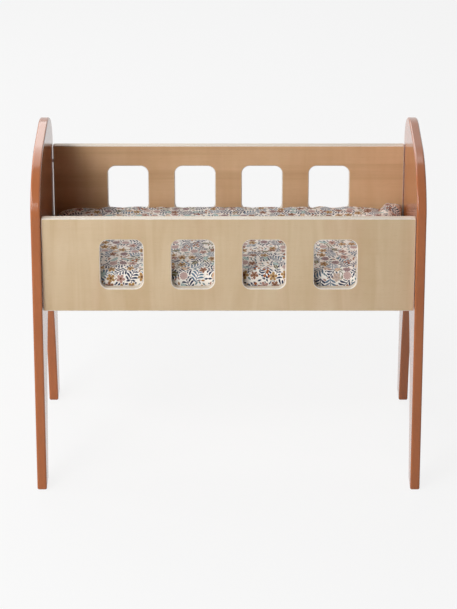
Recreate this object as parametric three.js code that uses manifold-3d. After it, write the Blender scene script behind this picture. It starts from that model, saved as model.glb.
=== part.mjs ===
// Doll bed: two arched end panels that stand as legs, a front and a back panel with four rounded
// windows each, a base board on two battens, the screws that hold it together, and a loose mattress.
// Millimetres. X runs along the bed, Y from the front to the back, Z up from the floor.

import * as THREE from 'three';
import { mergeVertices } from 'three/addons/utils/BufferGeometryUtils.js';
import Module from 'manifold-3d';

const wasm = await Module();
wasm.setup();

// The bed as a whole
const bedLength = 480;
const bedHeight = 420;
const boxWidth = 266;
const crownAboveBox = 60;
const seatGap = 0.3;
const overrun = 2;
const samePoint = 0.001;

// End panels: tapered sides, elliptical shoulders, and an arch cut between the legs
const endThickness = 12;
const endEase = 2.2;
const footSplay = 17;
const footWidth = 36;
const soleRound = 4;
const shoulderOverhang = 4;
const shoulderDrop = 60;
const shoulderReach = 100;
const archBelowBox = 22;
const archSideRise = 110;
const archSideLean = 19;
const archTopReach = 62;

// Front and back panels, and their windows
const panelThickness = 10;
const panelHeight = 122;
const panelEase = 1.2;
const panelCorner = 2;
const backJointGap = 0.8;
const windowCount = 4;
const windowEndMargin = 71.5;
const windowWidth = 52;
const windowHeight = 64;
const windowCorner = 10;
const windowSill = 30;

// Battens along the inside of the two long panels
const battenSide = 12;
const battenEase = 1;
const battenEndGap = 10;
const battenRaise = 2;

// Base board
const baseThickness = 4;
const baseClearance = 1.5;
const baseCorner = 6;

// Mattress: a stuffed pad of two sheets sewn together along one seam
const mattressEndGap = 3;
const mattressSideGap = 4;
const mattressRise = 22;
const mattressUnder = 6;
const longSideDraw = 4;
const shortSideDraw = 5;
const earRise = 17.5;
const earFlatness = 0.5;
const earLengthFrom = 0.8;
const earLengthTo = 0.92;
const earWidthFrom = 0.5;
const earWidthTo = 0.95;
const fullnessPower = 9;
const mattressStepsLong = 32;
const mattressStepsWide = 18;

// Screws through the end panels, across the battens, and down through the base
const endScrew = { shank: 4, head: 8, cone: 2.4, rim: 0.5, length: 45, point: 6, sink: 0.4 };
const endScrewInset = 22;
const battenScrew = { shank: 3.5, head: 7, cone: 2.1, rim: 0.4, length: 18, point: 4, sink: 0.3 };
const battenScrewCount = 4;
const battenScrewEnd = 23;
const baseScrew = { shank: 3, head: 5.6, cone: 1.6, rim: 0.3, length: 11, point: 3, sink: 0.2 };
const baseScrewCount = 3;
const baseScrewEnd = 68;

// Smoothness of the curves
const easeSteps = 2;
const archSteps = 16;
const shoulderSteps = 14;
const cornerSteps = 4;
const screwSides = 10;

// Places that follow from the sizes above
const innerHalf = bedLength / 2 - endThickness;
const footSpread = boxWidth + 2 * footSplay;
const shoulderSpread = boxWidth + 2 * shoulderOverhang;
const shoulderHeight = bedHeight - shoulderDrop;
const boxTop = bedHeight - crownAboveBox;
const panelBottom = boxTop - panelHeight;
const archHeight = panelBottom - archBelowBox;
const panelMiddle = boxWidth / 2 - panelThickness / 2;
const panelInside = boxWidth / 2 - panelThickness;
const windowPitch = pitchBetween(2 * (innerHalf - windowEndMargin) - windowWidth, windowCount);
const battenLength = 2 * (innerHalf - battenEndGap);
const battenMiddle = panelInside - seatGap - battenSide / 2;
const battenBottom = panelBottom + battenRaise;
const battenTop = battenBottom + battenSide;
const baseBottom = battenTop + seatGap;
const baseTop = baseBottom + baseThickness;
const mattressLength = 2 * (innerHalf - mattressEndGap);
const mattressWidth = 2 * (panelInside - mattressSideGap);
const seamHeight = baseTop + seatGap + mattressUnder;
const battenScrewPitch = pitchBetween(battenLength - 2 * battenScrewEnd, battenScrewCount);
const baseScrewPitch = pitchBetween(2 * (innerHalf - baseScrewEnd), baseScrewCount);

// Materials
const terracottaLacquer = new THREE.MeshStandardMaterial({ color: 0xb3714f, roughness: 0.25, metalness: 0 });
const birchPlywood = new THREE.MeshStandardMaterial({ color: 0xcbb190, roughness: 0.45, metalness: 0 });
const pineBatten = new THREE.MeshStandardMaterial({ color: 0xd9bf95, roughness: 0.6, metalness: 0 });
const zincSteel = new THREE.MeshStandardMaterial({ color: 0xb9bcc0, roughness: 0.35, metalness: 1 });
const printedCotton = new THREE.MeshStandardMaterial({ color: 0xe6dcd2, roughness: 0.9, metalness: 0 });

// The step between the places of a row that fills a span
function pitchBetween(span, count) {
  return span / (count - 1);
}

// A closed three.js geometry as a solid that can be joined and cut
function toSolid(geometry) {
  const bare = geometry.clone();
  bare.deleteAttribute('normal');
  bare.deleteAttribute('uv');
  const welded = mergeVertices(bare);
  const vertProperties = new Float32Array(welded.attributes.position.array);
  const triVerts = new Uint32Array(welded.index.array);
  return new wasm.Manifold(new wasm.Mesh({ numProp: 3, vertProperties, triVerts }));
}

function toGeometry(solid) {
  const mesh = solid.getMesh();
  const geometry = new THREE.BufferGeometry();
  geometry.setAttribute('position', new THREE.BufferAttribute(mesh.vertProperties, mesh.numProp));
  geometry.setIndex(new THREE.BufferAttribute(mesh.triVerts, 1));
  return geometry;
}

function drill(geometry, cutters) {
  let solid = toSolid(geometry);
  for (const cutter of cutters) {
    solid = solid.subtract(toSolid(cutter));
  }
  return toGeometry(solid);
}

// The points of a closed outline, from its stretches and the number of steps in each. Where two
// stretches meet, their shared point is kept once.
function outlinePoints(stretches) {
  const all = stretches.flatMap(([curve, steps]) => curve.getPoints(steps));
  return all.filter((point, index) => point.distanceTo(all[(index + 1) % all.length]) > samePoint);
}

// A rectangle with round corners, centred on a point
function roundedOutline(centreX, centreY, width, height, radius) {
  const corners = [[1, 1], [-1, 1], [-1, -1], [1, -1]];
  const stretches = corners.map(([sideX, sideY], quarter) => {
    const start = quarter * Math.PI / 2;
    const cornerX = centreX + sideX * (width / 2 - radius);
    const cornerY = centreY + sideY * (height / 2 - radius);
    const arc = new THREE.EllipseCurve(cornerX, cornerY, radius, radius, start, start + Math.PI / 2);
    return [arc, cornerSteps];
  });
  return outlinePoints(stretches);
}

// A flat board cut to an outline, with every edge eased
function easedBoard(shape, thickness, ease) {
  const board = new THREE.ExtrudeGeometry(shape, {
    depth: thickness - 2 * ease,
    bevelEnabled: true,
    bevelThickness: ease,
    bevelSize: ease,
    bevelOffset: -ease,
    bevelSegments: easeSteps,
  });
  return board.translate(0, 0, ease - thickness / 2);
}

// Turns a board drawn flat so that it stands across the bed, or along it
const acrossBed = new THREE.Matrix4().makeBasis(
  new THREE.Vector3(0, 1, 0), new THREE.Vector3(0, 0, 1), new THREE.Vector3(1, 0, 0));
const alongBed = new THREE.Matrix4().makeRotationX(Math.PI / 2);

// A countersunk screw lying along +Y, its head's flat at zero. With growth it is the hole that it
// needs: wider all round, deeper at the point, and open past the surface that the head sinks into.
function screwShape(screw, growth) {
  const shank = screw.shank / 2 + growth;
  const head = screw.head / 2 + growth;
  const top = growth > 0 ? screw.sink + overrun : 0;
  const profile = [
    new THREE.Vector2(0, -screw.length - growth),
    new THREE.Vector2(shank, -screw.length + screw.point),
    new THREE.Vector2(shank, -screw.rim - screw.cone),
    new THREE.Vector2(head, -screw.rim),
    new THREE.Vector2(head, top),
    new THREE.Vector2(0, top),
  ];
  return new THREE.LatheGeometry(profile, screwSides);
}

// Places a screw, or its hole, with its head's flat at a point and its head facing a direction
function placedScrew(screw, growth, place, facing) {
  const turn = new THREE.Quaternion().setFromUnitVectors(new THREE.Vector3(0, 1, 0), facing);
  const pose = new THREE.Matrix4().compose(place, turn, new THREE.Vector3(1, 1, 1));
  return screwShape(screw, growth).applyMatrix4(pose);
}

// Centred places along a row
function row(count, pitch) {
  return Array.from({ length: count }, (_, index) => (index - (count - 1) / 2) * pitch);
}

// Where each set of screws sits: the point of the head's flat, and the way it faces
function endScrewPlaces(side) {
  const facing = new THREE.Vector3(side, 0, 0);
  const places = [];
  for (const y of [-panelMiddle, panelMiddle]) {
    for (const z of [panelBottom + endScrewInset, boxTop - endScrewInset]) {
      places.push([new THREE.Vector3(side * (bedLength / 2 - endScrew.sink), y, z), facing]);
    }
  }
  return places;
}

function battenScrewPlaces(side) {
  const facing = new THREE.Vector3(0, -side, 0);
  const y = side * (battenMiddle - battenSide / 2 + battenScrew.sink);
  const z = battenBottom + battenSide / 2;
  return row(battenScrewCount, battenScrewPitch).map((x) => [new THREE.Vector3(x, y, z), facing]);
}

function baseScrewPlaces(side) {
  const facing = new THREE.Vector3(0, 0, 1);
  const y = side * battenMiddle;
  const z = baseTop - baseScrew.sink;
  return row(baseScrewCount, baseScrewPitch).map((x) => [new THREE.Vector3(x, y, z), facing]);
}

function screwHoles(screw, places) {
  return places.map(([place, facing]) => placedScrew(screw, seatGap, place, facing));
}

// Outline of an end panel, seen from the end: soles, tapered legs, shoulders, and the arch between
function endOutline() {
  const foot = footSpread / 2;
  const instep = foot - footWidth;
  const shoulder = shoulderSpread / 2;
  const crownRise = bedHeight - shoulderHeight;
  const sideFoot = foot - (foot - shoulder) * soleRound / shoulderHeight;
  const point = (y, z) => new THREE.Vector2(y, z);
  const line = (from, to) => [new THREE.LineCurve(from, to), 1];
  const bend = (from, corner, to) => [new THREE.QuadraticBezierCurve(from, corner, to), cornerSteps];
  const sweep = (a, b, c, d) => [new THREE.CubicBezierCurve(a, b, c, d), archSteps];
  const quarter = (y, from, to) => [
    new THREE.EllipseCurve(y, shoulderHeight, shoulderReach, crownRise, from, to, false), shoulderSteps];
  return outlinePoints([
    line(point(instep + soleRound, 0), point(foot - soleRound, 0)),
    bend(point(foot - soleRound, 0), point(foot, 0), point(sideFoot, soleRound)),
    line(point(sideFoot, soleRound), point(shoulder, shoulderHeight)),
    quarter(shoulder - shoulderReach, 0, Math.PI / 2),
    quarter(shoulderReach - shoulder, Math.PI / 2, Math.PI),
    line(point(-shoulder, shoulderHeight), point(-sideFoot, soleRound)),
    bend(point(-sideFoot, soleRound), point(-foot, 0), point(soleRound - foot, 0)),
    line(point(soleRound - foot, 0), point(-instep - soleRound, 0)),
    bend(point(-instep - soleRound, 0), point(-instep, 0), point(-instep, soleRound)),
    sweep(point(-instep, soleRound), point(archSideLean - instep, archSideRise),
      point(-archTopReach, archHeight), point(0, archHeight)),
    sweep(point(0, archHeight), point(archTopReach, archHeight),
      point(instep - archSideLean, archSideRise), point(instep, soleRound)),
    bend(point(instep, soleRound), point(instep, 0), point(instep + soleRound, 0)),
  ]);
}

function endPanel(side) {
  const board = easedBoard(new THREE.Shape(endOutline()), endThickness, endEase);
  board.applyMatrix4(acrossBed);
  board.translate(side * (bedLength / 2 - endThickness / 2), 0, 0);
  return drill(board, screwHoles(endScrew, endScrewPlaces(side)));
}

// A long panel with its row of windows, screw holes in its ends, and batten holes in its inside
function longPanel(side, leftGap, rightGap) {
  const length = 2 * innerHalf - leftGap - rightGap;
  const middle = (leftGap - rightGap) / 2;
  const sillMiddle = panelBottom + windowSill + windowHeight / 2;
  const panelCentre = panelBottom + panelHeight / 2;
  const shape = new THREE.Shape(roundedOutline(middle, panelCentre, length, panelHeight, panelCorner));
  for (const x of row(windowCount, windowPitch)) {
    const opening = roundedOutline(x, sillMiddle, windowWidth, windowHeight, windowCorner);
    shape.holes.push(new THREE.Path(opening));
  }
  const board = easedBoard(shape, panelThickness, panelEase);
  board.applyMatrix4(alongBed);
  board.translate(0, side * panelMiddle, 0);
  const endHoles = [-1, 1].flatMap((end) => screwHoles(endScrew, endScrewPlaces(end)));
  return drill(board, [...endHoles, ...screwHoles(battenScrew, battenScrewPlaces(side))]);
}

function batten(side) {
  const section = new THREE.Shape(roundedOutline(0, 0, battenSide, battenSide, battenEase));
  const bar = new THREE.ExtrudeGeometry(section, { depth: battenLength, bevelEnabled: false });
  bar.translate(0, 0, -battenLength / 2);
  bar.applyMatrix4(acrossBed);
  bar.translate(0, side * battenMiddle, battenBottom + battenSide / 2);
  return drill(bar, [
    ...screwHoles(battenScrew, battenScrewPlaces(side)),
    ...screwHoles(baseScrew, baseScrewPlaces(side)),
  ]);
}

function baseBoard() {
  const length = 2 * (innerHalf - baseClearance);
  const width = 2 * (panelInside - baseClearance);
  const shape = new THREE.Shape(roundedOutline(0, 0, length, width, baseCorner));
  const board = new THREE.ExtrudeGeometry(shape, { depth: baseThickness, bevelEnabled: false });
  board.translate(0, 0, baseBottom);
  return drill(board, [-1, 1].flatMap((side) => screwHoles(baseScrew, baseScrewPlaces(side))));
}

// One point of the mattress: across and along run from -1 to 1, and the face is 1 on top, -1 below.
// The sheets are fullest in the middle, meet at the seam, and draw in between the corners. The
// corner at the right and the back is turned up like an ear, with less filling in it.
function mattressPoint(along, across, face) {
  const fullness = (share) => Math.sqrt(Math.max(0, 1 - Math.abs(share) ** fullnessPower));
  const x = along * (mattressLength / 2 - shortSideDraw * (1 - across ** 2));
  const y = across * (mattressWidth / 2 - longSideDraw * (1 - along ** 2));
  const ear = THREE.MathUtils.smoothstep(along, earLengthFrom, earLengthTo)
    * THREE.MathUtils.smoothstep(across, earWidthFrom, earWidthTo);
  const body = fullness(along) * fullness(across) * (1 - earFlatness * ear);
  const swell = face > 0 ? mattressRise : mattressUnder;
  return new THREE.Vector3(x, y, seamHeight + face * swell * body + earRise * ear);
}

function mattressShape() {
  const positions = [];
  const spread = (step, steps) => Math.sin((step / steps - 0.5) * Math.PI);
  for (const face of [1, -1]) {
    const order = face > 0 ? [0, 1, 2, 0, 2, 3] : [0, 2, 1, 0, 3, 2];
    for (let i = 0; i < mattressStepsLong; i += 1) {
      for (let j = 0; j < mattressStepsWide; j += 1) {
        const square = [[i, j], [i + 1, j], [i + 1, j + 1], [i, j + 1]].map(([along, across]) =>
          mattressPoint(spread(along, mattressStepsLong), spread(across, mattressStepsWide), face));
        order.forEach((index) => positions.push(...square[index].toArray()));
      }
    }
  }
  const sheet = new THREE.BufferGeometry();
  sheet.setAttribute('position', new THREE.Float32BufferAttribute(positions, 3));
  return toGeometry(toSolid(sheet));
}

const bed = new THREE.Group();

function addPiece(name, geometry, material) {
  const piece = new THREE.Mesh(geometry, material);
  piece.name = name;
  bed.add(piece);
}

function addScrews(name, screw, places) {
  places.forEach(([place, facing], index) => {
    addPiece(`${name}_${index + 1}`, placedScrew(screw, 0, place, facing), zincSteel);
  });
}

for (const [side, name] of [[-1, 'left'], [1, 'right']]) {
  addPiece(`${name}_end_panel`, endPanel(side), terracottaLacquer);
  addScrews(`${name}_end_screw`, endScrew, endScrewPlaces(side));
}
addPiece('front_panel', longPanel(-1, seatGap, seatGap), birchPlywood);
addPiece('back_panel', longPanel(1, backJointGap, seatGap), birchPlywood);
for (const [side, name] of [[-1, 'front'], [1, 'back']]) {
  addPiece(`${name}_batten`, batten(side), pineBatten);
  addScrews(`${name}_batten_screw`, battenScrew, battenScrewPlaces(side));
}
addPiece('base_board', baseBoard(), birchPlywood);
addScrews('base_screw', baseScrew, [-1, 1].flatMap((side) => baseScrewPlaces(side)));
addPiece('mattress', mattressShape(), printedCotton);

export default bed;
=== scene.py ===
"""Looks of the doll bed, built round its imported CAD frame.

Metres. X runs along the bed, Y from the front to the back, Z up from the floor. Sizes that are
written in millimetres go through the factor MM. The boards and the screws have the sizes of the
bed's solids, and the mattress is its solid stuffed full, so that each visible piece lies on the solid
that it stands for.
"""
import math

import bmesh
import bpy
import numpy as np
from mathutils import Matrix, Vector
from mathutils.geometry import tessellate_polygon


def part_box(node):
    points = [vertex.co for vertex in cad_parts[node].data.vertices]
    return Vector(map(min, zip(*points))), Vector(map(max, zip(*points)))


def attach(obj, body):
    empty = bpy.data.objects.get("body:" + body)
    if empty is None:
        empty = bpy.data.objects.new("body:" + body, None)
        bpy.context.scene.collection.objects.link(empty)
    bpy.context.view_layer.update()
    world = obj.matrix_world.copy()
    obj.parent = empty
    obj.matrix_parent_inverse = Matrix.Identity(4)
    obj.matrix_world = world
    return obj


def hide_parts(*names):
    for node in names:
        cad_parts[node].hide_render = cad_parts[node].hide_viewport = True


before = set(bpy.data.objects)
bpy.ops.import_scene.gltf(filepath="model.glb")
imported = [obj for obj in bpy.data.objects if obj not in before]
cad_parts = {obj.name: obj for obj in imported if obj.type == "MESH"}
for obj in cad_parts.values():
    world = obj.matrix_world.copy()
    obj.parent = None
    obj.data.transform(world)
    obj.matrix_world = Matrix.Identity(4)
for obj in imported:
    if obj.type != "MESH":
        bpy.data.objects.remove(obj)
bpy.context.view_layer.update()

MM = 0.001


def in_metres(**sizes):
    """Named sizes given in millimetres."""
    return {name: size * MM for name, size in sizes.items()}


# Boards
END_OUTER = 240 * MM
END_THICKNESS = 12 * MM
END_EASE = 2.2 * MM
END_EASE_STEPS = 5
END_FLAT_RIM = 0.35 * MM
PANEL_OUTER = 133 * MM
PANEL_THICKNESS = 10 * MM
PANEL_EASE = 1.2 * MM
PANEL_EASE_STEPS = 4
PANEL_FLAT_RIM = 0.3 * MM
PANEL_TOP = 360 * MM
PANEL_BOTTOM = 238 * MM
PANEL_CORNER = 2 * MM
PANEL_CORNER_STEPS = 6
JOINT_GAP = 0.3 * MM
OPEN_JOINT_GAP = 0.8 * MM
PLY = 2 * MM

# Outline of an end board
BED_HEIGHT = 420 * MM
FOOT = 150 * MM
FOOT_WIDTH = 36 * MM
SOLE_ROUND = 4 * MM
SHOULDER = 137 * MM
SHOULDER_HEIGHT = 360 * MM
SHOULDER_REACH = 100 * MM
ARCH_HEIGHT = 216 * MM
ARCH_SIDE_RISE = 110 * MM
ARCH_SIDE_LEAN = 19 * MM
ARCH_TOP_REACH = 62 * MM
SIDE_STEPS = 12
SOLE_STEPS = 8
SHOULDER_STEPS = 40
ARCH_STEPS = 48

# Windows
WINDOW_PLACES = [-130.5 * MM, -43.5 * MM, 43.5 * MM, 130.5 * MM]
WINDOW_WIDTH = 52 * MM
WINDOW_HEIGHT = 64 * MM
WINDOW_MIDDLE = 300 * MM
WINDOW_CORNER = 10 * MM
WINDOW_CORNER_STEPS = 14

# Screws. A length runs from the flat of the head to the tip, and sink is how deep the flat lies
END_SCREW = in_metres(shank=4, head=8, cone=2.4, rim=0.5, length=45, point=6, sink=0.4)
BATTEN_SCREW = in_metres(shank=3.5, head=7, cone=2.1, rim=0.4, length=18, point=4, sink=0.3)
BASE_SCREW = in_metres(shank=3, head=5.6, cone=1.6, rim=0.3, length=11, point=3, sink=0.2)
END_SCREW_SPOTS = [(y, z) for y in (-128 * MM, 128 * MM) for z in (260 * MM, 338 * MM)]
BATTEN_SCREW_ROW = [-195 * MM, -65 * MM, 65 * MM, 195 * MM]
BASE_SCREW_ROW = [-160 * MM, 0.0, 160 * MM]
SCREW_SIZES = ["Head", "Shank", "Rim", "Cone", "Length", "Point"]
SCREW_SIDES = 28
SCREW_SMOOTH_ANGLE = math.radians(35)
HOLE_GAP = 0.3 * MM
HOLE_EASE = 0.15 * MM
HOLE_FLAT_RIM = 0.5 * MM
HOLE_SIDES = 32

# Cross recess of a screw, as shares of the head's width
RECESS_LONG = 0.77
RECESS_THICK = 0.17
RECESS_TALL = 0.30
RECESS_SUNK = 0.22
RECESS_TOP = 0.62
RECESS_TIP = 0.30

# Thread of a screw. Its pitch is a share of the shank's width, and its run a share of the length
# between the cone and the point
THREAD_PITCH = 0.42
THREAD_RUN = 0.62
THREAD_RISE = 0.22 * MM
THREAD_STEPS = 12

# Mattress
PAD_LENGTH = 450 * MM
PAD_WIDTH = 238 * MM
PAD_SEAM_HEIGHT = 262.6 * MM
PAD_FLOOR = 256.8 * MM
PAD_CLEAR_X = 226.6 * MM
PAD_CLEAR_Y = 122.3 * MM
PAD_RISE = 22 * MM
PAD_CROWN = 1.5 * MM
PAD_UNDER = 6 * MM
PAD_END_HOLLOW = 4 * MM
PAD_BACK_HOLLOW = 3 * MM
PAD_FRONT_BULGE = 2.8 * MM
EAR_RISE = 16 * MM
EAR_THINNING = 0.5

# Where those forms start and are full, as shares of the way from the pad's middle to its side
BULGE_FORWARD = (0.75, 1.0)
CROWN_FORWARD = (-0.7, 0.3)
EAR_ALONG = (0.87, 0.915)
EAR_BACKWARD = (0.50, 0.93)

# Fullness of the pad's cross-section: 2 is an ellipse, and a greater number is nearer a box
PAD_FULLNESS = 12.0
PAD_FRONT_FULLNESS = 90.0

# Cloth of the mattress
PAD_STEPS_LONG = 104
PAD_STEPS_WIDE = 58
SHEET_LIFT = 1 * MM
SETTLE_REACH = 5 * MM
SETTLE_FRAMES = 25
SEAM_CREASE = 0.75

# How firmly the full pad's shape holds the cloth while it settles: lightly all over, more along the
# front and most at the seam. The cloth is cut a little large along its sides, where it puckers, and
# nearly to size in the smooth middle
HOLD_ALL = 0.10
HOLD_FRONT = 0.32
HOLD_SEAM = 0.85
HOLD_FORWARD = (88 * MM, 112 * MM)
SMOOTH_MIDDLE = 0.86
SMOOTH_INWARDS = (10 * MM, 46 * MM)
STUFFING = {
    "quality": 6, "mass": 0.15, "tension_stiffness": 15, "compression_stiffness": 15,
    "shear_stiffness": 5, "bending_stiffness": 0.05, "use_pressure": True,
    "uniform_pressure_force": 1.5, "shrink_min": -0.045, "shrink_max": 0.003, "pin_stiffness": 1.0}
STITCH = in_metres(Step=2.8, Stitch=2.2, Thread=0.55)

# Print of the mattress. PAD_UV is the length of cloth that the UV map's unit stands for, and the
# under sheet is cut from another part of it
PAD_UV = 520 * MM
UNDER_SHEET_UV = 0.5
PRINT_SCALE = 1.12
SOFT_EDGE = 0.22
SURE_EDGE = 0.005
WEAVE_PITCH = 0.42

# Studio: name, place, side in metres and power in watts of each lamp
LAMPS = [
    ("key_left", (-1.47, -0.78, 2.03), 0.6, 12.0),
    ("key_middle", (-1.06, -1.45, 1.89), 0.7, 20.0),
    ("front_fill", (-1.0, -2.13, 1.4), 1.2, 25.0),
    ("left_fill", (-2.2, 0.2, 0.9), 1.2, 19.0),
    ("right_fill", (2.2, 0.2, 0.9), 1.2, 8.0),
    ("back_top", (-0.6, 1.5, 1.6), 1.9, 24.0),
]
LAMP_AIM = (0.0, 0.0, 0.3)
FLOOR_REACH = 8.0
FLOOR_GLOW_SHARE = 0.9
AMBIENT = (0.006, 0.005, 0.004, 1.0)

# Camera
CAMERA_PLACE = (0.0, -3.370, 1.643)
CAMERA_DIP = math.radians(23.33)
CAMERA_LENS = 169.8
CAMERA_SENSOR = 36.0
CAMERA_NEAR = 0.1
CAMERA_FAR = 50.0


def linear(code):
    """A colour written as on a paint chart, rrggbb, as the linear values that shaders take."""
    parts = [int(code[i:i + 2], 16) / 255 for i in (0, 2, 4)]
    return tuple(p / 12.92 if p <= 0.04045 else ((p + 0.055) / 1.055) ** 2.4 for p in parts) + (1.0,)


# Node trees, written in plain sums

class Wire:
    """A number that a node tree works out. Plain sums on it build Math nodes."""

    def __init__(self, tree, socket):
        self.tree = tree
        self.socket = socket

    def math(self, operation, *others, clamp=False):
        """This number and any others through one Math node."""
        node = self.tree.nodes.new("ShaderNodeMath")
        node.operation = operation
        node.use_clamp = clamp
        for slot, value in zip(node.inputs, (self, *others)):
            feed(self.tree, slot, value)
        return Wire(self.tree, node.outputs[0])

    def __add__(self, other):
        return self.math("ADD", other)

    def __sub__(self, other):
        return self.math("SUBTRACT", other)

    def __mul__(self, other):
        return self.math("MULTIPLY", other)

    def __truediv__(self, other):
        return self.math("DIVIDE", other)

    def flipped(self):
        """1 less this."""
        return self.math("MULTIPLY", -1.0) + 1.0

    def size(self):
        """This without its sign."""
        return self.math("ABSOLUTE")

    def at_least(self, other):
        return self.math("MAXIMUM", other)

    def below(self, limit, soft=SOFT_EDGE):
        """1 where this is under the limit and 0 over it, with a soft edge."""
        return ((self * -1.0 + limit) / soft + 0.5).math("ADD", 0.0, clamp=True)


def feed(tree, slot, value):
    """Sets an input to a number, a colour or a vector, or links a wire to it."""
    if isinstance(value, Wire):
        tree.links.new(value.socket, slot)
    elif isinstance(value, bpy.types.NodeSocket):
        tree.links.new(value, slot)
    else:
        slot.default_value = value


def new_node(tree, kind, inputs=None, **settings):
    """A node with its settings and its inputs, which are named or numbered."""
    node = tree.nodes.new(kind)
    for name, value in settings.items():
        setattr(node, name, value)
    for name, value in (inputs or {}).items():
        feed(tree, node.inputs[name], value)
    return node


def output(tree, kind, inputs=None, **settings):
    """The first output of a new node."""
    return new_node(tree, kind, inputs, **settings).outputs[0]


def object_place(tree):
    return new_node(tree, "ShaderNodeTexCoord").outputs["Object"]


def parts_of(tree, vector):
    node = new_node(tree, "ShaderNodeSeparateXYZ", {0: vector})
    return [Wire(tree, socket) for socket in node.outputs]


def vector_of(tree, x, y, z=0.0):
    return output(tree, "ShaderNodeCombineXYZ", {0: x, 1: y, 2: z})


def scaled(tree, place, scale, shift=(0.0, 0.0, 0.0)):
    return output(tree, "ShaderNodeMapping", {"Vector": place, "Scale": scale, "Location": shift})


def noise(tree, place, density, detail=3.0, roughness=0.5, distortion=0.0, shift=(0.0, 0.0, 0.0)):
    """Cloudy noise between 0 and 1. The density is how many clouds lie along a metre: one number,
    or one for each axis where the clouds are longer one way than the other."""
    if isinstance(density, tuple):
        place, density = scaled(tree, place, density, shift), 1.0
    return Wire(tree, output(tree, "ShaderNodeTexNoise", {
        "Vector": place, "Scale": density, "Detail": detail, "Roughness": roughness,
        "Distortion": distortion}))


def spread(wire, low, high, new_low=0.0, new_high=1.0):
    """Stretches the range from low to high over a new range, and holds it there."""
    return Wire(wire.tree, output(wire.tree, "ShaderNodeMapRange", {
        "Value": wire, "From Min": low, "From Max": high, "To Min": new_low, "To Max": new_high}))


def blend(tree, share, first, second):
    """Mixes two colours, each a paint code or what other nodes give: the first where the share is 0,
    the second where it is 1."""
    first, second = (linear(c) if isinstance(c, str) else c for c in (first, second))
    node = new_node(tree, "ShaderNodeMix", {"Factor": share, "A": first, "B": second},
                    data_type="RGBA", clamp_factor=True)
    return node.outputs["Result"]


def edge_mark(tree):
    """1 on a board's cut edges and 0 on its faces."""
    node = new_node(tree, "ShaderNodeAttribute", attribute_name="edge")
    return Wire(tree, node.outputs["Fac"])


def new_material(name, **principled):
    """A material with its Principled shader, whose plain sockets are set here."""
    material = bpy.data.materials.new(name)
    material.use_nodes = True
    shader = material.node_tree.nodes["Principled BSDF"]
    for socket, value in principled.items():
        shader.inputs[socket.replace("_", " ")].default_value = value
    return material, material.node_tree


def dress(material, colour, roughness, height, depth, strength):
    """Links a material's colour, its roughness and the relief of a height to its shader."""
    tree = material.node_tree
    relief = output(tree, "ShaderNodeBump", {"Height": height, "Distance": depth, "Strength": strength})
    for name, value in (("Base Color", colour), ("Roughness", roughness), ("Normal", relief)):
        feed(tree, tree.nodes["Principled BSDF"].inputs[name], value)
    return material


# Finishes of the boards, the screws and the thread

def terracotta_lacquer():
    """Satin lacquer sprayed over board: even, faintly pebbled, worn paler along the edges."""
    material, tree = new_material(
        "terracotta_lacquer", IOR=1.41, Coat_Weight=0.2, Coat_Roughness=0.08, Coat_IOR=1.5)
    place = object_place(tree)
    clouds = noise(tree, place, 9.0, 2.0)
    specks = noise(tree, place, 900.0, 1.0)
    pebble = noise(tree, place, 420.0, 2.0, 0.6)
    worn = spread(noise(tree, place, 60.0, 4.0, 0.6), 0.55, 0.75) * edge_mark(tree)
    colour = blend(tree, spread(clouds, 0.3, 0.7), "a0592c", "aa6133")
    colour = blend(tree, spread(specks, 0.62, 0.75) * 0.12, colour, "7a3f20")
    colour = blend(tree, worn * 0.14, colour, "b3744c")
    roughness = spread(pebble, 0.2, 0.8, 0.14, 0.22) + worn * 0.06
    return dress(material, colour, roughness, pebble, 0.04 * MM, 0.6)


def ply_edges(tree, place):
    """The cut edge of a long board: its plies, whose grain runs along and across in turn. Returns
    the colour and the pores of the end grain."""
    _, y, _ = parts_of(tree, place)
    board_middle = PANEL_OUTER - PANEL_THICKNESS / 2
    depth = (y.size() - board_middle) / PLY + 0.5
    ply = depth.math("FLOOR").math("MODULO", 2.0).size()
    end_grain = noise(tree, place, (700.0, 500.0, 700.0), 2.0, 0.7)
    colour = blend(tree, ply, "e7e0d7", "cdbda4")
    colour = blend(tree, spread(end_grain, 0.45, 0.8) * 0.35, colour, "a98458")
    return colour, end_grain


def birch_plywood(name, pale, deep, streak, figure, streaks, varnish):
    """Birch plywood under clear varnish. The face veneer runs along X. figure is the share of its
    upright flames against soft clouds, and streaks is how strongly its long lines show."""
    material, tree = new_material(name, IOR=1.36, Coat_Weight=varnish, Coat_Roughness=0.3)
    place = object_place(tree)
    flame = noise(tree, place, (48.0, 3.0, 5.0), 3.0, 0.55, 0.8)
    blush = noise(tree, place, (31.0, 3.0, 3.5), 2.0, 0.5, 0.6, shift=(7.0, 0.0, 2.0))
    clouds = noise(tree, place, (11.0, 3.0, 13.0), 4.0, 0.6)
    grain = noise(tree, place, (9.0, 120.0, 420.0), 3.0, 0.6, 0.3)
    bands = noise(tree, place, (1.6, 60.0, 70.0), 4.0, 0.6, 0.4)
    pores = noise(tree, place, (130.0, 900.0, 2600.0), 2.0)
    tone = spread(flame, 0.33, 0.67) * figure + spread(clouds, 0.3, 0.7) * (1.0 - figure)
    colour = blend(tree, tone, pale, deep)
    colour = blend(tree, spread(blush, 0.52, 0.68) * (0.3 * figure), colour, "c39a7c")
    colour = blend(tree, spread(bands, 0.5, 0.7) * (0.7 * streaks), colour, streak)
    colour = blend(tree, spread(grain, 0.45, 0.8) * (0.05 + 0.15 * streaks), colour, streak)
    colour = blend(tree, spread(pores, 0.66, 0.76) * 0.3, colour, "8a6a48")
    edge = edge_mark(tree)
    edge_colour, end_grain = ply_edges(tree, place)
    colour = blend(tree, edge, colour, edge_colour)
    roughness = spread(grain, 0.2, 0.8, 0.37, 0.50) + edge * 0.15
    relief = grain * 0.5 + pores * 0.5 + end_grain * edge
    return dress(material, colour, roughness, relief, 0.06 * MM, 0.55)


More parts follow.
